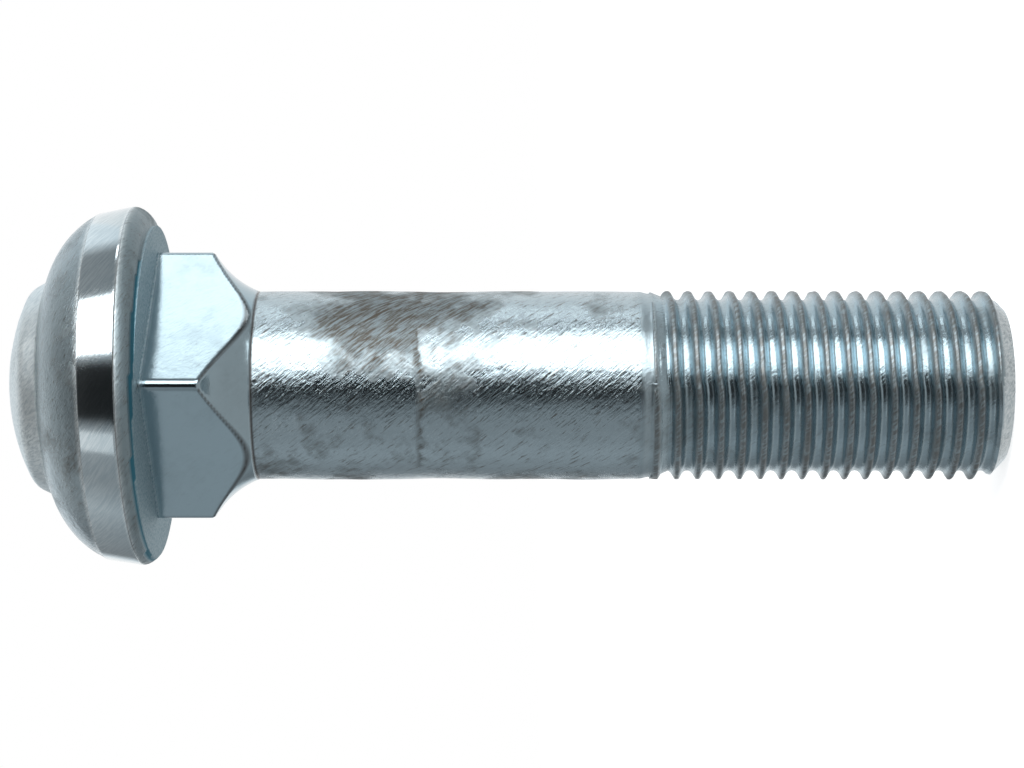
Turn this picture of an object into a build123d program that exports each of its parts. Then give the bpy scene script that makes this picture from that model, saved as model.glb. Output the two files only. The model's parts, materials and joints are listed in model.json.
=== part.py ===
from build123d import *
import os
from math import cos, radians, sin, tan

# Forged square-neck bolt with a stepped, domed flange head.
# The axis is Z. The bolt stands on the flat end of its thread at Z = 0, head up,
# and the flats of its square neck face X and Y.
# The threaded stretch is drawn plain, at its diameter over the crests.

# Threaded stretch and shank
thread_d = 18.0             # over the crests
thread_length = 33.5        # from the end face to the last turn
thread_run_out = 1.8        # over which the crests ease down into the shank
point_chamfer = 1.6         # 45 degrees, at the thread's end
shank_d = 17.9              # forged, plain
length_under_head = 80.4

# Square neck
neck_stand = 0.25           # each flat stands this far proud of the shank
neck_corner_fillet = 0.4
neck_corner_length = 5.2    # full corners, from the bearing face
neck_length = 9.75          # to the end of the hollow round that trims the corners
neck_trim_round = 8.6       # radius of that round, along the axis

# Head, heights measured from the bearing face
head_height = 13.85
dome_radius = 20.0
boss_top_r = 9.5            # where the dome would meet the boss side, unrounded
boss_taper = 0.9            # how far the foot of the boss side stands out from its top
boss_foot_height = 9.7
boss_top_fillet = 0.9
boss_foot_fillet = 0.5
flange_round = 8.8          # radius of the flange's curved shoulder
rim_d = 34.2                # the widest, at the foot of the rim band
rim_taper = 0.6             # how far the top of the rim band stands in from its foot
rim_top_height = 4.9
rim_foot_height = 1.6
rim_edge_round = 2.0        # from the rim to the bearing face
bearing_inset = 1.9         # how far the edge of the bearing face stands in from the rim
head_lean = 1.5             # degrees that the forged head is out of square
lean_azimuth = 45.0         # the side of the head that sits higher

# Sizes worked out from those above
crest_r = thread_d / 2
shank_r = shank_d / 2
neck_across = shank_d + 2 * neck_stand
neck_corner_r = neck_across / 2 * 2**0.5
neck_foot = length_under_head - neck_length
boss_top_height = head_height - dome_radius + (dome_radius**2 - boss_top_r**2) ** 0.5
boss_foot_r = boss_top_r + boss_taper
rim_r = rim_d / 2
rim_top_r = rim_r - rim_taper
bearing_r = rim_r - bearing_inset
turned_margin = 1.0         # how far the head's outline runs on below the bearing face


def polar(radius, degrees):
    return (radius * cos(radians(degrees)), radius * sin(radians(degrees)))


with BuildPart() as bolt:
    # Chamfered point, threaded stretch and shank
    with BuildSketch(Plane.XZ):
        with BuildLine():
            Polyline(
                (0, 0),
                (crest_r - point_chamfer, 0),
                (crest_r, point_chamfer),
                (crest_r, thread_length - thread_run_out),
                (shank_r, thread_length),
                (shank_r, length_under_head),
                (0, length_under_head),
                close=True,
            )
        make_face()
    revolve(axis=Axis.Z)

with BuildPart() as neck:
    with BuildSketch(Plane.XY.offset(neck_foot)):
        Rectangle(neck_across, neck_across)
    extrude(amount=neck_length)
    fillet(neck.edges().filter_by(Axis.Z), neck_corner_fillet)
    # The hollow round that trims the four corners down to the shank
    with BuildSketch(Plane.XZ):
        with BuildLine():
            corner_foot = length_under_head - neck_corner_length
            trim = RadiusArc((shank_r, neck_foot), (neck_corner_r, corner_foot), neck_trim_round)
            Polyline(
                trim @ 1,
                (neck_corner_r, length_under_head),
                (0, length_under_head),
                (0, neck_foot),
                trim @ 0,
            )
        make_face()
    revolve(axis=Axis.Z, mode=Mode.INTERSECT)

# The head is turned about an axis that leans, then cut square at its bearing face
head_plane = Plane(
    origin=(0, 0, length_under_head),
    x_dir=(*polar(cos(radians(head_lean)), lean_azimuth), sin(radians(head_lean))),
    z_dir=(*polar(1, lean_azimuth - 90), 0),
)
head_axis = Axis(head_plane.origin, head_plane.y_dir)
below_bearing = -rim_r * tan(radians(head_lean)) - turned_margin

with BuildPart() as head:
    with BuildSketch(head_plane):
        with BuildLine():
            dome = RadiusArc((0, head_height), (boss_top_r, boss_top_height), dome_radius)
            side = Line(dome @ 1, (boss_foot_r, boss_foot_height))
            shoulder = RadiusArc(side @ 1, (rim_top_r, rim_top_height), flange_round)
            rim = Line(shoulder @ 1, (rim_r, rim_foot_height))
            edge = RadiusArc(rim @ 1, (bearing_r, 0), rim_edge_round)
            Polyline(edge @ 1, (bearing_r, below_bearing), (0, below_bearing), (0, head_height))
        make_face()
        boss_top = vertices().sort_by_distance(side @ 0)[0]
        fillet(boss_top, boss_top_fillet)
        boss_foot = vertices().sort_by_distance(side @ 1)[0]
        fillet(boss_foot, boss_foot_fillet)
    revolve(axis=head_axis)
    split(bisect_by=Plane.XY.offset(length_under_head), keep=Keep.TOP)

with bolt:
    add(neck.part)
    add(head.part)

os.makedirs("parts", exist_ok=True)
bolt.part.label = "bolt"
export_step(bolt.part, "parts/bolt.step")
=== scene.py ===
import json
from math import atan2, cos, exp, hypot, pi, radians, sin, sqrt, tan

import bpy
import bmesh
from mathutils import Matrix, Vector, noise


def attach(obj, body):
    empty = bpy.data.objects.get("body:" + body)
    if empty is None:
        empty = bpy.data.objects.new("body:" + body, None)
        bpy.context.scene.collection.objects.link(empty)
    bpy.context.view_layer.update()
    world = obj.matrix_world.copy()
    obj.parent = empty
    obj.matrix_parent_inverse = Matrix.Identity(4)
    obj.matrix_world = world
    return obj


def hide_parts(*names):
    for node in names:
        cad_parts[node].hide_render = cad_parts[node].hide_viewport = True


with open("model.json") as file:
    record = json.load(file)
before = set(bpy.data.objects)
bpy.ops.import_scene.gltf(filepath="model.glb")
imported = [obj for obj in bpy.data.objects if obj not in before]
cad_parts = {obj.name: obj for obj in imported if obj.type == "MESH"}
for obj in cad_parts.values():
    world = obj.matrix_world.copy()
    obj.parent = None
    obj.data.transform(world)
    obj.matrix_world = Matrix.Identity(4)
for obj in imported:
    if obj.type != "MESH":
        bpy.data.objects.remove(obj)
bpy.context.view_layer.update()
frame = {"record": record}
mm = 0.001
weld = 0.001 * mm             # points nearer to each other than this are one

# Sizes that the frame already holds
mounts = {mount["name"]: mount for mount in frame["record"]["mounts"]}
shankRadius = mounts["shank"]["dims"]["r_mm"] * mm
crestRadius = mounts["thread"]["dims"]["r_mm"] * mm
threadLength = mounts["thread"]["dims"]["length_mm"] * mm
bearingHeight = mounts["bearing_face"]["pos_m"][2]

# The picture looks at one corner of the square neck, with the bolt lying level, head to the left
cameraAzimuth = radians(-45)
towardCamera = Vector((cos(cameraAzimuth), sin(cameraAzimuth), 0))
photoUp = Vector((-sin(cameraAzimuth), cos(cameraAzimuth), 0))


# Helpers for meshes

def drawOutline(bm, points):  # points are (radius, height), joined in turn
    verts = [bm.verts.new((radius, 0, height)) for radius, height in points]
    edges = [bm.edges.new(pair) for pair in zip(verts, verts[1:])]
    return verts, edges


def arcBetween(start, end, radius, steps):  # bulges to the left of the way it runs
    along = Vector(end) - Vector(start)
    middle = (Vector(end) + Vector(start)) / 2
    rightward = Vector((along.y, -along.x)).normalized()
    centre = middle + rightward * sqrt(radius ** 2 - (along.length / 2) ** 2)
    first = Vector(start) - centre
    sweep = 2 * atan2(along.length / 2, (middle - centre).length)
    points = []
    for step in range(steps + 1):
        turn = -sweep * step / steps
        points.append((centre.x + first.x * cos(turn) - first.y * sin(turn),
                       centre.y + first.x * sin(turn) + first.y * cos(turn)))
    return points


def cutAt(bm, height, keepAbove):
    bmesh.ops.bisect_plane(
        bm, geom=bm.verts[:] + bm.edges[:] + bm.faces[:], dist=weld / 10,
        plane_co=(0, 0, height), plane_no=(0, 0, 1),
        clear_inner=keepAbove, clear_outer=not keepAbove)


def openRing(bm, height):  # the open edges that lie at one height
    return [edge for edge in bm.edges
            if edge.is_boundary and all(abs(vert.co.z - height) < weld for vert in edge.verts)]


def setRadius(vert, radius):
    scale = radius / hypot(vert.co.x, vert.co.y)
    vert.co.x *= scale
    vert.co.y *= scale


def ripples(point, layers):  # smooth noise of several sizes: each layer is size, seed and share
    return sum(noise.noise(point / size + Vector((seed, seed * 0.7, -seed))) * share
               for size, seed, share in layers)


# Body: thread, shank and square neck, drawn out of one ring of edges

body = {
    "columns": 224,
    "cornerCrowding": 0.8,       # how far the columns gather at the neck's corners
    "pitch": 2.0 * mm,
    "flankAngle": radians(30),
    "crestHeight": 1.38 * mm,    # where a crest crosses the camera's side
    "crestFlat": 0.32 * mm,
    "crestEven": 0.6,            # the share of that flat that isn't rounded off
    "crestRound": 0.05 * mm,
    "crestDents": 0.07 * mm,
    "crestRipples": ((1.1 * mm, 6.6, 1),),
    "crestWorn": 0.25,           # with more of this, less of the crest is left whole
    "crestSkin": 0.3 * mm,       # how far down a flank the dents reach
    "rootRound": 0.6 * mm,
    "rootTurns": (-60, -40, -20, 0, 20, 40, 60),
    "pointChamfer": 1.6 * mm,
    "runOut": 1.8 * mm,
    "shankStep": 0.62 * mm,
    "shankWaves": 0.12 * mm,
    "shankRipples": ((7 * mm, 3.1, 1), (2 * mm, 8.2, 0.2)),
    "shankFades": (1.5 * mm, 3 * mm),    # where the waves die out, at the thread and at the neck
    "collarLength": 1.0 * mm,    # the narrow band where the shank meets the thread
    "collarRows": (0.12, 0.3, 0.7, 0.88, 1.0),
    "collarGroove": (0.2 * mm, 0.15 * mm, 0.5 * mm),     # depth, height over the thread, reach
    "neckLength": 9.75 * mm,
    "neckStep": 0.24 * mm,
    "acrossFlats": 18.4 * mm,
    "cornerRound": 0.8 * mm,
    "cornerLength": 5.2 * mm,
    "trimRound": 8.6 * mm,       # the hollow round that trims the corners
    "trimSteps": 40,
}
flankSlope = tan(body["flankAngle"])
neckFoot = bearingHeight - body["neckLength"]


def threadOutline():
    pitch = body["pitch"]
    bottom = body["rootRound"]
    crestHalf = body["crestFlat"] / 2
    flankDepth = (pitch / 2 - bottom * cos(body["flankAngle"]) - crestHalf) / flankSlope
    rootCentre = crestRadius - flankDepth + bottom * sin(body["flankAngle"])
    cornerDrop = body["crestRound"] * flankSlope
    points = []
    crest = body["crestHeight"] - pitch * (cameraAzimuth / (2 * pi) + 2)
    while crest < threadLength + pitch:
        points.append((crestRadius - body["crestRound"], crest - crestHalf - cornerDrop))
        points.append((crestRadius, crest - crestHalf * body["crestEven"]))
        points.append((crestRadius, crest + crestHalf * body["crestEven"]))
        points.append((crestRadius - body["crestRound"], crest + crestHalf + cornerDrop))
        for turn in body["rootTurns"]:
            points.append((rootCentre - bottom * cos(radians(turn)),
                           crest + pitch / 2 + bottom * sin(radians(turn))))
        crest += pitch
    return points, rootCentre - bottom


def squareRadius(azimuth):  # from the axis to the neck's rounded square, at one azimuth
    half = body["acrossFlats"] / 2
    inner = half - body["cornerRound"]
    turn = (azimuth + pi / 4) % (pi / 2) - pi / 4
    if half * abs(tan(turn)) <= inner:
        return half / cos(turn)
    reach = inner * (cos(turn) + abs(sin(turn)))
    return reach + sqrt(reach ** 2 - 2 * inner ** 2 + body["cornerRound"] ** 2)


def buildBody(bm):
    points, rootRadius = threadOutline()
    verts, edges = drawOutline(bm, points)
    bmesh.ops.spin(
        bm, geom=verts + edges, cent=(0, 0, 0), axis=(0, 0, 1), angle=2 * pi,
        dvec=(0, 0, body["pitch"] / body["columns"]), steps=body["columns"], use_duplicate=False)
    bmesh.ops.remove_doubles(bm, verts=bm.verts[:], dist=weld)
    cutAt(bm, 0, keepAbove=True)
    cutAt(bm, threadLength, keepAbove=False)
    for vert in bm.verts:  # the columns gather at the corners
        azimuth = atan2(vert.co.y, vert.co.x)
        shift = -body["cornerCrowding"] * sin(4 * (azimuth - cameraAzimuth)) / 4
        vert.co = Matrix.Rotation(shift, 3, "Z") @ vert.co
    for vert in bm.verts:  # the chamfer at the end, and the run-out into the shank
        radius = hypot(vert.co.x, vert.co.y)
        radius = min(radius, crestRadius - body["pointChamfer"] + vert.co.z)
        climb = 1 - (threadLength - vert.co.z) / body["runOut"]
        if climb > 0:
            radius = max(radius, rootRadius + (shankRadius - rootRadius) * climb)
            radius = min(radius, crestRadius + (shankRadius - crestRadius) * climb)
        setRadius(vert, radius)
    bmesh.ops.contextual_create(bm, geom=openRing(bm, 0))

    ring = openRing(bm, threadLength)
    trim = arcBetween((shankRadius, neckFoot),
                      (body["acrossFlats"] / sqrt(2), bearingHeight - body["cornerLength"]),
                      body["trimRound"], body["trimSteps"])
    heights = [threadLength + body["collarLength"] * share for share in body["collarRows"]]
    start = heights[-1]
    shankRows = round((neckFoot - start) / body["shankStep"])
    for row in range(1, shankRows + 1):
        heights.append(start + (neckFoot - start) * row / shankRows)
    neckRows = round(body["neckLength"] / body["neckStep"])
    for row in range(1, neckRows + 1):
        heights.append(neckFoot + body["neckLength"] * row / neckRows)
    for height in heights:
        made = bmesh.ops.extrude_edge_only(bm, edges=ring)["geom"]
        fresh = [item for item in made if isinstance(item, bmesh.types.BMVert)]
        ring = [item for item in made if isinstance(item, bmesh.types.BMEdge)
                and all(vert in fresh for vert in item.verts)]
        for vert in fresh:
            vert.co.z = height
            setRadius(vert, neckRadius(vert, trim))


def neckRadius(vert, trim):  # the shank, or the square neck with its corners trimmed
    height = vert.co.z
    if height <= neckFoot:
        return shankRadius
    limit = trim[-1][0]
    for (inner, low), (outer, high) in zip(trim, trim[1:]):
        if low <= height <= high:
            limit = inner + (outer - inner) * (height - low) / (high - low)
    return min(squareRadius(atan2(vert.co.y, vert.co.x)), limit)


# Head: an outline turned about an axis that leans, cut square at the bearing face

head = {
    "columns": 256,
    "height": 13.85 * mm,
    "domeRadius": 20.0 * mm,
    "bossTopRadius": 9.5 * mm,
    "bossTopRound": 0.55 * mm,
    "bossFoot": (10.4 * mm, 9.7 * mm),
    "bossFootRound": 0.3 * mm,
    "shoulderRound": 8.8 * mm,
    "rimTop": (16.5 * mm, 4.9 * mm),
    "rimTopRound": 0.1 * mm,
    "rimFoot": (17.1 * mm, 1.6 * mm),
    "rimFootRound": 0.25 * mm,
    "edgeRound": 2.0 * mm,
    "bearingRadius": 15.2 * mm,
    "below": 1.5 * mm,           # how far the outline runs on before it is cut at the bearing face
    "arcSteps": (18, 16, 8),     # of the dome, the shoulder and the lower edge
    "cornerSteps": 4,
    "lean": radians(1.5),
    "skinDents": 0.03 * mm,      # how uneven the forging left the dome and the shoulder
    "skinRipples": ((2.6 * mm, 5.2, 0.7), (0.9 * mm, 1.4, 0.3)),
    "skinInset": 0.7,            # keeps the dents inside the true outline
    "skinFrom": 5 * mm,          # the rim and the underside below this height are true
}
bossDrop = head["domeRadius"] - sqrt(head["domeRadius"] ** 2 - head["bossTopRadius"] ** 2)
bossTop = (head["bossTopRadius"], head["height"] - bossDrop)
leanTurn = Matrix.Rotation(head["lean"], 3, towardCamera)


def buildHead(bm):
    bearingEdge = (head["bearingRadius"], 0)
    domeSteps, shoulderSteps, edgeSteps = head["arcSteps"]
    points = arcBetween((0, head["height"]), bossTop, head["domeRadius"], domeSteps)
    points += arcBetween(head["bossFoot"], head["rimTop"], head["shoulderRound"], shoulderSteps)
    points += arcBetween(head["rimFoot"], bearingEdge, head["edgeRound"], edgeSteps)
    points.append((head["bearingRadius"], -head["below"]))
    verts, edges = drawOutline(bm, points)
    for corner, size in ((bossTop, "bossTopRound"), (head["bossFoot"], "bossFootRound"),
                         (head["rimTop"], "rimTopRound"), (head["rimFoot"], "rimFootRound")):
        vert = min(verts, key=lambda item: hypot(item.co.x - corner[0], item.co.z - corner[1]))
        verts.remove(vert)
        bmesh.ops.bevel(bm, geom=[vert], offset=head[size], segments=head["cornerSteps"],
                        profile=0.5, affect="VERTICES", material=-1, clamp_overlap=True)
    outline = [vert for vert in bm.verts if vert.is_wire]
    wires = [edge for edge in bm.edges if edge.is_wire]
    bmesh.ops.spin(bm, geom=outline + wires, cent=(0, 0, 0), axis=(0, 0, 1), angle=2 * pi,
                   dvec=(0, 0, 0), steps=head["columns"], use_merge=True, use_duplicate=False)
    bmesh.ops.remove_doubles(bm, verts=bm.verts[:], dist=weld)
    bmesh.ops.translate(bm, vec=(0, 0, bearingHeight), verts=bm.verts[:])
    bmesh.ops.rotate(bm, cent=(0, 0, bearingHeight), verts=bm.verts[:], matrix=leanTurn)
    cutAt(bm, bearingHeight, keepAbove=True)


def addMesh(bm, source):  # joins one bmesh to another
    held = bpy.data.meshes.new("held")
    source.to_mesh(held)
    source.free()
    bm.from_mesh(held)
    bpy.data.meshes.remove(held)


def inHead(point):  # radius and height in the head's own, leaning frame
    turned = leanTurn.transposed() @ (point - Vector((0, 0, bearingHeight)))
    return hypot(turned.x, turned.y), turned.z


def roughen(vert):  # the forged and rolled skin isn't quite true
    point = vert.co.copy()
    radius = hypot(point.x, point.y)
    if point.z > bearingHeight:
        if inHead(point)[1] > head["skinFrom"]:
            dent = ripples(point, head["skinRipples"]) - head["skinInset"]
            vert.co += vert.normal * head["skinDents"] * dent
    elif threadLength < point.z < neckFoot:
        below, above = point.z - threadLength, neckFoot - point.z
        atThread, atNeck = body["shankFades"]
        wave = ripples(point, body["shankRipples"]) * min(1, above / atNeck, below / atThread)
        depth, rise, reach = body["collarGroove"]
        groove = depth * exp(-((below - rise) / reach) ** 2)
        setRadius(vert, radius + body["shankWaves"] * wave - groove)
    elif point.z <= threadLength and radius > crestRadius - body["crestSkin"]:
        dent = max(0, ripples(point, body["crestRipples"]) + body["crestWorn"])
        setRadius(vert, radius - body["crestDents"] * dent)


# How the plating looks changes from place to place, and shade and highlights are painted on it in
# places, so each vertex holds how much of each it has

skin = {
    "edgeHighlightReach": 0.28 * mm,      # how far the painted highlight along an edge runs on
    "crestReach": 0.18 * mm,     # and how far down a crest's rough seam does
    "neckTopHighlight": (0.5, 0.3 * mm),   # painted highlight along the neck's top, and how far down
    "pointHighlight": 0.8,            # the share of the end's chamfer that has a painted highlight
    "collarReach": 1.2,          # times its length
    "shankReach": 0.1 * mm,      # past the neck's foot
    "bearingReach": 0.3 * mm,    # up the lower edge
    "onPlane": 0.05 * mm,        # nearer to the bearing face's height than this lies on it
    "onEnd": 0.02 * mm,
    # roughness, how scored, how blue and how dull each zone is; the bearing face's deep blue and
    # the shoulder's dullness are painted shade
    "dome": (0.4, 0.35, 0.12, 0.0),
    # the shoulder's dull share is painted shade
    "shoulder": (0.16, 0.9, 0.06, 0.6),
    "rim": (0.11, 0.04, 0.0, 0.0),
    "edge": (0.42, 0.9, 0.12, 1.0),
    # the bearing face's full blue share is painted shade under the rim
    "bearing": (0.62, 0.1, 1.0, 0.0),
    "neck": (0.13, 0.12, 0.21, 0.0),
    "shank": (0.17, 1.0, 0.0, 0.0),
    "collar": (0.3, 0.5, 0.05, 0.2),
    "thread": (0.2, 0.5, 0.19, 0.0),
}


def skinAt(vert):
    if vert.co.z < threadLength:
        return skin["thread"]
    if vert.co.z < threadLength + body["collarLength"] * skin["collarReach"]:
        return skin["collar"]
    if vert.co.z < neckFoot + skin["shankReach"]:
        return skin["shank"]
    reach, rise = inHead(vert.co)
    if vert.co.z < bearingHeight - skin["onPlane"]:
        return skin["neck"]
    if vert.co.z < bearingHeight + skin["bearingReach"] and reach < head["rimFoot"][0]:
        return skin["bearing"]
    if rise < head["rimFoot"][1]:
        return skin["edge"]
    if rise < head["rimTop"][1]:
        return skin["rim"]
    return skin["shoulder"] if reach > head["bossFoot"][0] else skin["dome"]


def markSkin(bm):
    layers = [bm.verts.layers.float.new(name) for name in ("rough", "scored", "blue", "dull")]
    wear = bm.verts.layers.float.new("wear")
    crest = bm.verts.layers.float.new("crest")
    edges = (head["rimTop"], head["rimFoot"], bossTop)
    for vert in bm.verts:
        for layer, amount in zip(layers, skinAt(vert)):
            vert[layer] = amount
        if vert.co.z > bearingHeight + skin["onPlane"]:
            reach, rise = inHead(vert.co)
            near = min(hypot(reach - edge[0], rise - edge[1]) for edge in edges)
            # painted highlight: whole over the dome and the boss, and fading out from the head's
            # edges
            domeHighlight = 1.0 if rise > head["bossFoot"][1] else 0.0
            vert[wear] = max(domeHighlight, exp(-(near / skin["edgeHighlightReach"]) ** 2))
        # painted highlight along the neck's top
        elif vert.co.z > bearingHeight - skin["neckTopHighlight"][1]:
            vert[wear] = skin["neckTopHighlight"][0]
        # painted highlight on the end's chamfer
        elif vert.co.z < body["pointChamfer"] * skin["pointHighlight"]:
            vert[wear] = 1.0
        elif vert.co.z < threadLength:
            depth = crestRadius - hypot(vert.co.x, vert.co.y)
            vert[crest] = exp(-(depth / skin["crestReach"]) ** 2)


def buildBolt():
    bm = bmesh.new()
    buildBody(bm)
    print("thread, shank and neck made:", len(bm.verts), "vertices")
    crown = bmesh.new()
    buildHead(crown)
    print("head made:", len(crown.verts), "vertices")
    addMesh(bm, crown)
    bmesh.ops.bridge_loops(bm, edges=openRing(bm, bearingHeight))
    bmesh.ops.recalc_face_normals(bm, faces=bm.faces[:])
    bm.normal_update()
    for vert in bm.verts:
        roughen(vert)
    markSkin(bm)
    for face in bm.faces:
        face.smooth = True
    for edge in bm.edges:  # sharp round the bearing face and the end face
        heights = [vert.co.z for vert in edge.verts]
        onBearing = all(abs(height - bearingHeight) < skin["onPlane"] for height in heights)
        edge.smooth = not (onBearing or max(heights) < skin["onEnd"])
    mesh = bpy.data.meshes.new("forgedBolt")
    bm.to_mesh(mesh)
    print("bolt made:", sum(len(face.verts) - 2 for face in bm.faces), "triangles")
    bm.free()
    bolt = bpy.data.objects.new("forgedBolt", mesh)
    bpy.context.scene.collection.objects.link(bolt)
    return bolt


# Materials

def linear(hexText):  # an sRGB hex colour, as the linear colour that a shader takes
    channels = [int(hexText[place:place + 2], 16) / 255 for place in (0, 2, 4)]
    return [c / 12.92 if c <= 0.04045 else ((c + 0.055) / 1.055) ** 2.4 for c in channels] + [1]


def addNode(owner, kind, settings=None, links=None):  # "stops" are a ramp's places and colours
    tree = owner.node_tree
    node = tree.nodes.new("ShaderNode" + kind)
    for name, value in (settings or {}).items():
        if name == "stops":
            ramp = node.color_ramp
            while len(ramp.elements) < len(value):
                ramp.elements.new(0.5)
            for element, (place, colour) in zip(ramp.elements, value):
                element.position = place
                element.color = colour
        elif isinstance(name, int) or name in node.inputs:
            node.inputs[name].default_value = value
        else:
            setattr(node, name, value)
    for name, source in (links or {}).items():
        tree.links.new(source, node.inputs[name])
    return node


zinc = {
    "plating": "b3c3ca",         # blue-white passivated zinc
    "cloud": "8d9a9f",           # where the plating is duller, also used for the painted shade on the shoulder
    "stain": "645f58",           # brownish film in the forged skin's scratches
    "crest": "7c7f7f",           # rough seam along the rolled crests
    "highlight": "e4ecee",          # painted highlight on the dome, the head's edges, the neck's top and the end's chamfer
    "blue": "3d7789",            # bluer passivation; the deep blue under the rim is painted shade
    "creaseShade": "4d4a48",            # painted shade along the neck's creases
    "creaseShadeWidth": 0.21 * mm,
    "scratchSlant": radians(40),     # from the axis, right-handed
    # across, across and along. Real ones are hair thin, so these are drawn as wide as they must
    # be to show, and so are the pits
    "scratchSize": (0.26 * mm, 0.26 * mm, 1.15 * mm),
    "scratches": {"Scale": 1.0, "Detail": 4.0, "Roughness": 0.65, "Distortion": 0.4},
    "clouds": {"Scale": 1 / (4.5 * mm), "Detail": 4.0, "Roughness": 0.6},
    "pits": {"Scale": 1 / (0.22 * mm), "Detail": 2.0, "Roughness": 0.5},
    "cloudRelief": {"Strength": 1.0, "Distance": 0.22 * mm},
    "scratchRelief": {"Strength": 0.9, "Distance": 0.06 * mm},
    "pitRelief": {"Strength": 0.45, "Distance": 0.02 * mm},
    # the values of the clouds or the scratches between which each one comes on
    "patchRange": {"From Min": 0.5, "From Max": 0.74},
    "markRange": {"From Min": 0.4, "From Max": 0.6},
    "fleckRange": {"From Min": 0.57, "From Max": 0.68, "To Max": 0.75},
    "bareRange": {"From Min": 0.62, "From Max": 0.48},
    "highlightBreakupRange": {"From Min": 0.6, "From Max": 0.4, "To Min": 0.45},
    "patchMatte": 0.42,          # how much rougher the film's patches are
    "seamMatte": 0.2,            # and the crests' seams
    "browned": (                 # height, angle, reach and weight of the places with most film
        (59.3 * mm, radians(33), 6.6 * mm, 0.26),
        (56.5 * mm, radians(78), 10.5 * mm, 0.22),
        (61.0 * mm, radians(-8), 6.5 * mm, -0.07),
        (41.5 * mm, radians(-8), 8.5 * mm, -0.16),
    ),
    "brownedCore": 0.45,         # the share of the reach that has the whole weight
    "ring": (55.2 * mm, 0.45 * mm, 0.14),    # scuffed line round the shank: height, reach, weight
    "ringWobble": 3 * mm,
}


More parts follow.
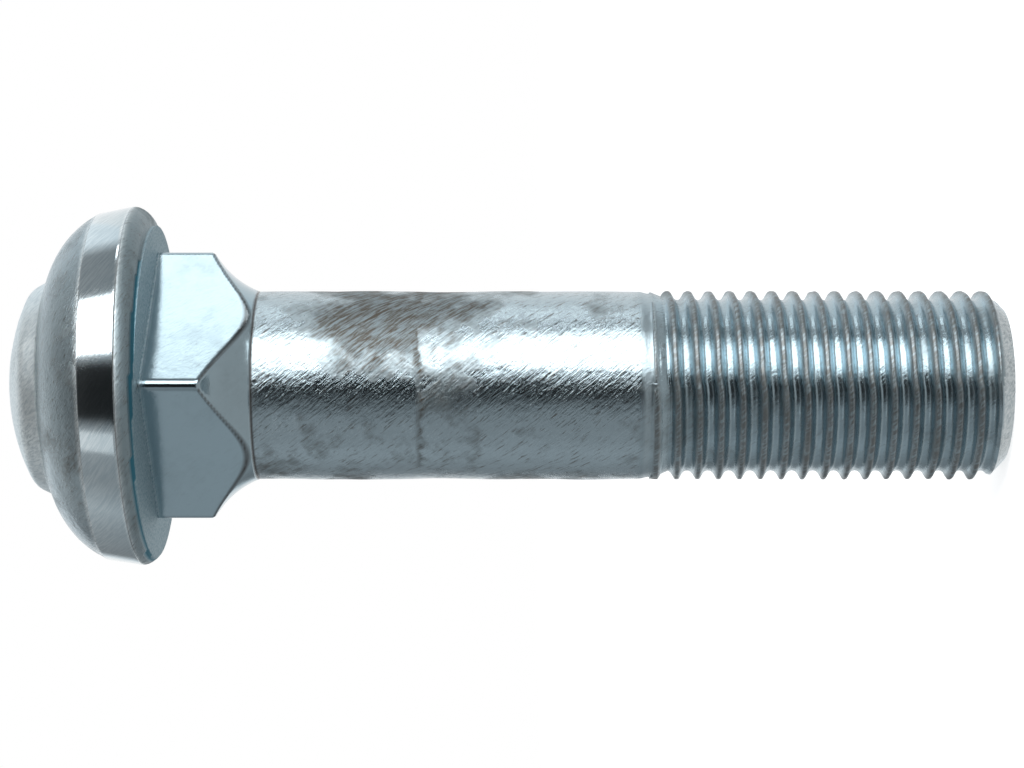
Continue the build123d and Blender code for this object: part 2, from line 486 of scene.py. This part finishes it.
def zincPlatedSteel():
    # Electroplated zinc over a forged and rolled skin: a bright, blue-white metal that mirrors
    # in soft, broken patches, with slanting scratches and a dull brown film in the rough places
    # Painted shade darkens the neck's creases, the shoulder and the bearing face, and a painted
    # highlight brightens the dome, the head's edges, the neck's top and the end's chamfer
    material = bpy.data.materials.new("zincPlatedSteel")
    material.use_nodes = True
    material.node_tree.nodes.clear()
    place = addNode(material, "TexCoord").outputs["Object"]
    axes = addNode(material, "SeparateXYZ", None, {0: place}).outputs
    rough, scored, blue, dull, wear, crest = [
        addNode(material, "Attribute", {"attribute_name": name}).outputs["Fac"]
        for name in ("rough", "scored", "blue", "dull", "wear", "crest")]

    # Scratches wind round the axis, so the place is twisted before their noise is stretched
    twist = addNode(material, "Math", {
        "operation": "MULTIPLY", 1: tan(zinc["scratchSlant"]) / shankRadius}, {0: axes["Z"]})
    wound = addNode(material, "VectorRotate", {"rotation_type": "Z_AXIS"},
                    {"Vector": place, "Angle": twist.outputs[0]})
    stretched = addNode(material, "VectorMath", {
        "operation": "MULTIPLY", 1: [1 / size for size in zinc["scratchSize"]]},
        {0: wound.outputs[0]}).outputs[0]
    scratches, clouds, pits = [
        addNode(material, "TexNoise", zinc[name], {"Vector": where}).outputs[0]
        for name, where in (("scratches", stretched), ("clouds", place), ("pits", place))]

    # The film lies in patches that follow the clouds and one wavy ring, and is heavier or lighter
    # in a few places of the shank
    height, reach, weight = zinc["ring"]
    waved = addNode(material, "Math", {"operation": "MULTIPLY_ADD", 1: zinc["ringWobble"]},
                    {0: clouds, 2: axes["Z"]}).outputs[0]
    off = addNode(material, "Math", {
        "operation": "SUBTRACT", 1: height + zinc["ringWobble"] / 2}, {0: waved}).outputs[0]
    off = addNode(material, "Math", {"operation": "ABSOLUTE"}, {0: off}).outputs[0]
    near = addNode(material, "MapRange", {"From Min": reach, "From Max": 0},
                   {"Value": off}).outputs[0]
    heavier = addNode(material, "Math", {"operation": "MULTIPLY_ADD", 1: weight},
                      {0: near, 2: clouds}).outputs[0]
    for height, angle, reach, weight in zinc["browned"]:
        outward = towardCamera * cos(angle) + photoUp * sin(angle)
        middle = outward * shankRadius + Vector((0, 0, height))
        away = addNode(material, "VectorMath", {"operation": "DISTANCE", 1: middle}, {0: place})
        near = addNode(material, "MapRange", {
            "From Min": reach, "From Max": reach * zinc["brownedCore"]},
            {"Value": away.outputs["Value"]}).outputs[0]
        heavier = addNode(material, "Math", {"operation": "MULTIPLY_ADD", 1: weight},
                          {0: near, 2: heavier}).outputs[0]
    patches = addNode(material, "MapRange", zinc["patchRange"], {"Value": heavier}).outputs[0]
    cloudy = addNode(material, "Math", {"operation": "MULTIPLY"},
                     {0: patches, 1: scored}).outputs[0]

    # Outside the patches the film fills only the deepest scratches. The rolled crests are rubbed
    # bare in places, the painted highlights are broken up by the scratches, and only scored zones
    # stand in relief
    marks, deep, bare, highlightBreakup = [
        addNode(material, "MapRange", zinc[name], {"Value": scratches}).outputs[0]
        for name in ("markRange", "fleckRange", "bareRange", "highlightBreakupRange")]
    film, flecks, seam, highlighted, swells, scores, hollows = [
        addNode(material, "Math", {"operation": "MULTIPLY"}, {0: one, 1: other}).outputs[0]
        for one, other in ((cloudy, marks), (deep, scored), (crest, bare), (wear, highlightBreakup),
                           (clouds, scored), (scratches, scored), (pits, scored))]
    film = addNode(material, "Math", {"operation": "MAXIMUM"}, {0: film, 1: flecks}).outputs[0]

    # the clouds' duller patches, together with the zones' painted shade
    cloudedAndShaded = addNode(material, "Math", {"operation": "MAXIMUM"}, {0: cloudy, 1: dull}).outputs[0]
    tone = addNode(material, "Mix", {
        "data_type": "RGBA", 6: linear(zinc["plating"]), 7: linear(zinc["cloud"])},
        {0: cloudedAndShaded}).outputs[2]
    for colour, share in (("blue", blue), ("stain", film), ("crest", seam), ("highlight", highlighted),
                          ("creaseShade", paintedCreaseShade(material, axes))):
        tone = addNode(material, "Mix", {"data_type": "RGBA", 7: linear(zinc[colour])},
                       {0: share, 6: tone}).outputs[2]

    matte = addNode(material, "Math", {"operation": "MULTIPLY_ADD", 1: zinc["patchMatte"]},
                    {0: cloudy, 2: rough}).outputs[0]
    roughness = addNode(material, "Math", {
        "operation": "MULTIPLY_ADD", 1: zinc["seamMatte"], "use_clamp": True},
        {0: crest, 2: matte}).outputs[0]

    swollen = addNode(material, "Bump", zinc["cloudRelief"], {"Height": swells}).outputs[0]
    scratched = addNode(material, "Bump", zinc["scratchRelief"],
                        {"Height": scores, "Normal": swollen}).outputs[0]
    pitted = addNode(material, "Bump", zinc["pitRelief"],
                     {"Height": hollows, "Normal": scratched}).outputs[0]
    shader = addNode(material, "BsdfPrincipled", {"Metallic": 1.0},
                     {"Base Color": tone, "Roughness": roughness, "Normal": pitted})
    addNode(material, "OutputMaterial", None, {"Surface": shader.outputs[0]})
    return material


def paintedCreaseShade(material, axes):  # painted shade, near both the trimmed corner and a flat, or at the neck's foot
    low, high = neckFoot, bearingHeight - body["cornerLength"]
    inner, outer = shankRadius, body["acrossFlats"] / sqrt(2)
    half = hypot(outer - inner, high - low) / 2
    sag = sqrt(body["trimRound"] ** 2 - half ** 2) / (2 * half)
    middleRadius = (inner + outer) / 2 + (high - low) * sag
    middleHeight = (low + high) / 2 - (outer - inner) * sag
    steps = (                    # result, operation and its terms
        ("sideX", "ABSOLUTE", "X"),
        ("sideY", "ABSOLUTE", "Y"),
        ("flat", "MAXIMUM", "sideX", "sideY"),
        ("squareX", "POWER", "X", 2.0),
        ("squareY", "POWER", "Y", 2.0),
        ("squares", "ADD", "squareX", "squareY"),
        ("radius", "SQRT", "squares"),
        ("outward", "SUBTRACT", "radius", middleRadius),
        ("upward", "SUBTRACT", "Z", middleHeight),
        ("squareOut", "POWER", "outward", 2.0),
        ("squareUp", "POWER", "upward", 2.0),
        ("squares", "ADD", "squareOut", "squareUp"),
        ("reach", "SQRT", "squares"),
        ("hollow", "SUBTRACT", "reach", body["trimRound"]),
        ("hollow", "ABSOLUTE", "hollow"),
        ("inset", "SUBTRACT", "flat", body["acrossFlats"] / 2),
        ("inset", "ABSOLUTE", "inset"),
        ("edge", "ADD", "hollow", "inset"),
        ("foot", "SUBTRACT", "Z", low),
        ("foot", "ABSOLUTE", "foot"),
        ("nearest", "MINIMUM", "edge", "foot"),
        ("widths", "DIVIDE", "nearest", zinc["creaseShadeWidth"]),
        ("widths", "MINIMUM", "widths", 1.0),
        ("crease", "SUBTRACT", 1.0, "widths"),
    )
    found = {name: axes[name] for name in "XYZ"}
    for result, operation, *terms in steps:
        numbers = {slot: term for slot, term in enumerate(terms) if not isinstance(term, str)}
        links = {slot: found[term] for slot, term in enumerate(terms) if isinstance(term, str)}
        found[result] = addNode(
            material, "Math", {"operation": operation, **numbers}, links).outputs[0]
    return found["crease"]


bolt = buildBolt()
bolt.data.materials.append(zincPlatedSteel())
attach(bolt, "root")
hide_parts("bolt")


# Camera, floor and light

view = {
    "distance": 234.1 * mm,      # from the axis
    "height": 46.6 * mm,         # of the picture's middle over the thread's end
    "raise": 0.12 * mm,          # the axis lies a little under the picture's middle
    "lens": 86.13,
    "sensor": 36,
    "clipStart": 0.01,
}


def placeCamera():
    data = bpy.data.cameras.new("camera")
    data.lens = view["lens"]
    data.sensor_width = view["sensor"]
    data.clip_start = view["clipStart"]
    camera = bpy.data.objects.new("camera", data)
    bpy.context.scene.collection.objects.link(camera)
    place = towardCamera * view["distance"] + photoUp * view["raise"]
    place.z += view["height"]
    axes = Matrix((Vector((0, 0, -1)), photoUp, towardCamera)).transposed().to_4x4()
    camera.matrix_world = Matrix.Translation(place) @ axes
    bpy.context.scene.camera = camera


paleFloor = {
    "size": 3.0,                 # metres
    "paint": "f2f2f2",
    "lift": (0.66, 0.66, 0.66, 1),   # so that it is seen as pale as the sheet and keeps its shadow
}


def makeFloor():
    bm = bmesh.new()
    bmesh.ops.create_grid(bm, x_segments=1, y_segments=1, size=paleFloor["size"])
    mesh = bpy.data.meshes.new("floor")
    bm.to_mesh(mesh)
    bm.free()
    floor = bpy.data.objects.new("floor", mesh)
    bpy.context.scene.collection.objects.link(floor)
    floor.visible_glossy = False  # the metal mirrors the room, as if it hung before the sheet

    # Matt emulsion paint, rolled on: an even, pale ground without gloss, which shows only shadow
    material = bpy.data.materials.new("mattPaint")
    material.use_nodes = True
    material.node_tree.nodes.clear()
    paint = addNode(material, "BsdfDiffuse", {"Color": linear(paleFloor["paint"])})
    rays = addNode(material, "LightPath").outputs
    seen = rays["Is Camera Ray"]
    for kind in ("Is Glossy Ray", "Is Transmission Ray"):
        seen = addNode(material, "Math", {"operation": "MAXIMUM"},
                       {0: seen, 1: rays[kind]}).outputs[0]
    lift = addNode(material, "Emission", {"Color": paleFloor["lift"]}, {"Strength": seen})
    both = addNode(material, "AddShader", None, {0: paint.outputs[0], 1: lift.outputs[0]})
    addNode(material, "OutputMaterial", None, {"Surface": both.outputs[0]})
    mesh.materials.append(material)


# The room round the bolt, by the angle from the camera's side up toward the top of the picture:
# a white sheet behind, dark where the camera stands, and pale card above and below it
room = {
    "stops": (                   # degrees and tone
        (-180, 1.0), (-158, 1.0), (-146, 0.26), (-112, 0.36), (-90, 0.5), (-68, 0.33), (-30, 0.38),
        (-22, 0.02), (13, 0.015), (22, 0.5), (64, 0.3), (100, 0.3), (112, 1.0), (180, 1.0),
    ),
    "tint": (0.94, 1.0, 1.04),
    # toward the bolt's two ends: tone behind it and before it, and the slopes along the axis
    # where that tone starts and where it is full
    "headSide": (0.92, 0.18, 0.5, 0.85),
    "threadSide": (0.66, 0.5, -0.2, -0.6),
    "depth": (-0.8, 0.4),        # how far toward the camera "behind" and "before" are
    "sheetTone": 0.85,           # what is paler than this is the sheet
    "sheetSlope": 0.3,           # and up to this slope the metal sees it plain white
}


def lightRoom():
    world = bpy.data.worlds.new("studio")
    bpy.context.scene.world = world
    world.use_nodes = True
    world.node_tree.nodes.clear()
    where = addNode(world, "TexCoord").outputs["Generated"]
    slope = addNode(world, "SeparateXYZ", None, {0: where}).outputs["Z"]
    ahead, upward = [
        addNode(world, "VectorMath", {"operation": "DOT_PRODUCT", 1: way},
                {0: where}).outputs["Value"]
        for way in (towardCamera, photoUp)]
    angle = addNode(world, "Math", {"operation": "ARCTAN2"}, {0: upward, 1: ahead}).outputs[0]
    turn = addNode(world, "MapRange", {"From Min": -pi, "From Max": pi},
                   {"Value": angle}).outputs[0]
    stops = [((degree + 180) / 360, [tone * share for share in room["tint"]] + [1])
             for degree, tone in room["stops"]]
    tone = addNode(world, "ValToRGB", {"stops": stops}, {0: turn}).outputs[0]
    sheet = addNode(world, "MapRange", {"From Min": room["sheetTone"]}, {"Value": tone}).outputs[0]
    for behind, before, starts, full in (room["headSide"], room["threadSide"]):
        grey = addNode(world, "MapRange", {
            "From Min": room["depth"][0], "From Max": room["depth"][1],
            "To Min": behind, "To Max": before}, {"Value": ahead}).outputs[0]
        share = addNode(world, "MapRange", {
            "interpolation_type": "SMOOTHSTEP", "From Min": starts, "From Max": full},
            {"Value": slope}).outputs[0]
        tone = addNode(world, "Mix", {"data_type": "RGBA"}, {0: share, 6: tone, 7: grey}).outputs[2]

    # The sheet is plain white to the camera from any side, and behind the bolt in the metal too
    rays = addNode(world, "LightPath").outputs
    mirrored = addNode(world, "Math", {"operation": "MAXIMUM"},
                       {0: rays["Is Glossy Ray"], 1: rays["Is Transmission Ray"]}).outputs[0]
    steep = addNode(world, "Math", {"operation": "ABSOLUTE"}, {0: slope}).outputs[0]
    level = addNode(world, "Math", {"operation": "LESS_THAN", 1: room["sheetSlope"]},
                    {0: steep}).outputs[0]
    white = addNode(world, "Math", {"operation": "MULTIPLY"}, {0: mirrored, 1: sheet}).outputs[0]
    white = addNode(world, "Math", {"operation": "MULTIPLY_ADD"},
                    {0: white, 1: level, 2: rays["Is Camera Ray"]}).outputs[0]
    around = addNode(world, "Background", {"Strength": 1.0}, {"Color": tone})
    plain = addNode(world, "Background", {"Color": (1, 1, 1, 1), "Strength": 1.0})
    mix = addNode(world, "MixShader", None, {0: white, 1: around.outputs[0], 2: plain.outputs[0]})
    addNode(world, "OutputWorld", None, {"Surface": mix.outputs[0]})


lamps = {                        # each at an angle of the room in degrees, in metres and watts
    "softBox": {
        "angle": 41, "distance": 0.5, "height": 0.24,
        "width": 0.36, "length": 1.04, "power": 3.9,
    },
    "stripBox": {
        "angle": 93, "distance": 0.5, "height": 0.06,
        "width": 0.1, "length": 0.34, "power": 0.23,
    },
    "paleCard": {
        "angle": -38, "distance": 0.5, "height": 0.33,
        "width": 0.12, "length": 0.18, "power": 0.03,
    },
}


def hangLamp(name, lamp):
    data = bpy.data.lights.new(name, "AREA")
    data.shape = "RECTANGLE"
    data.size = lamp["width"]
    data.size_y = lamp["length"]
    data.energy = lamp["power"]
    piece = bpy.data.objects.new(name, data)
    bpy.context.scene.collection.objects.link(piece)
    turn = radians(lamp["angle"])
    outward = towardCamera * cos(turn) + photoUp * sin(turn)
    across = Vector((0, 0, 1)).cross(outward)
    axes = Matrix((across, Vector((0, 0, 1)), outward)).transposed().to_4x4()
    place = outward * lamp["distance"] + Vector((0, 0, lamp["height"]))
    piece.matrix_world = Matrix.Translation(place) @ axes
    piece.visible_camera = False


placeCamera()
makeFloor()
lightRoom()
for name, lamp in lamps.items():
    hangLamp(name, lamp)
bpy.context.scene.view_settings.view_transform = "Standard"
print("camera, floor and light placed")
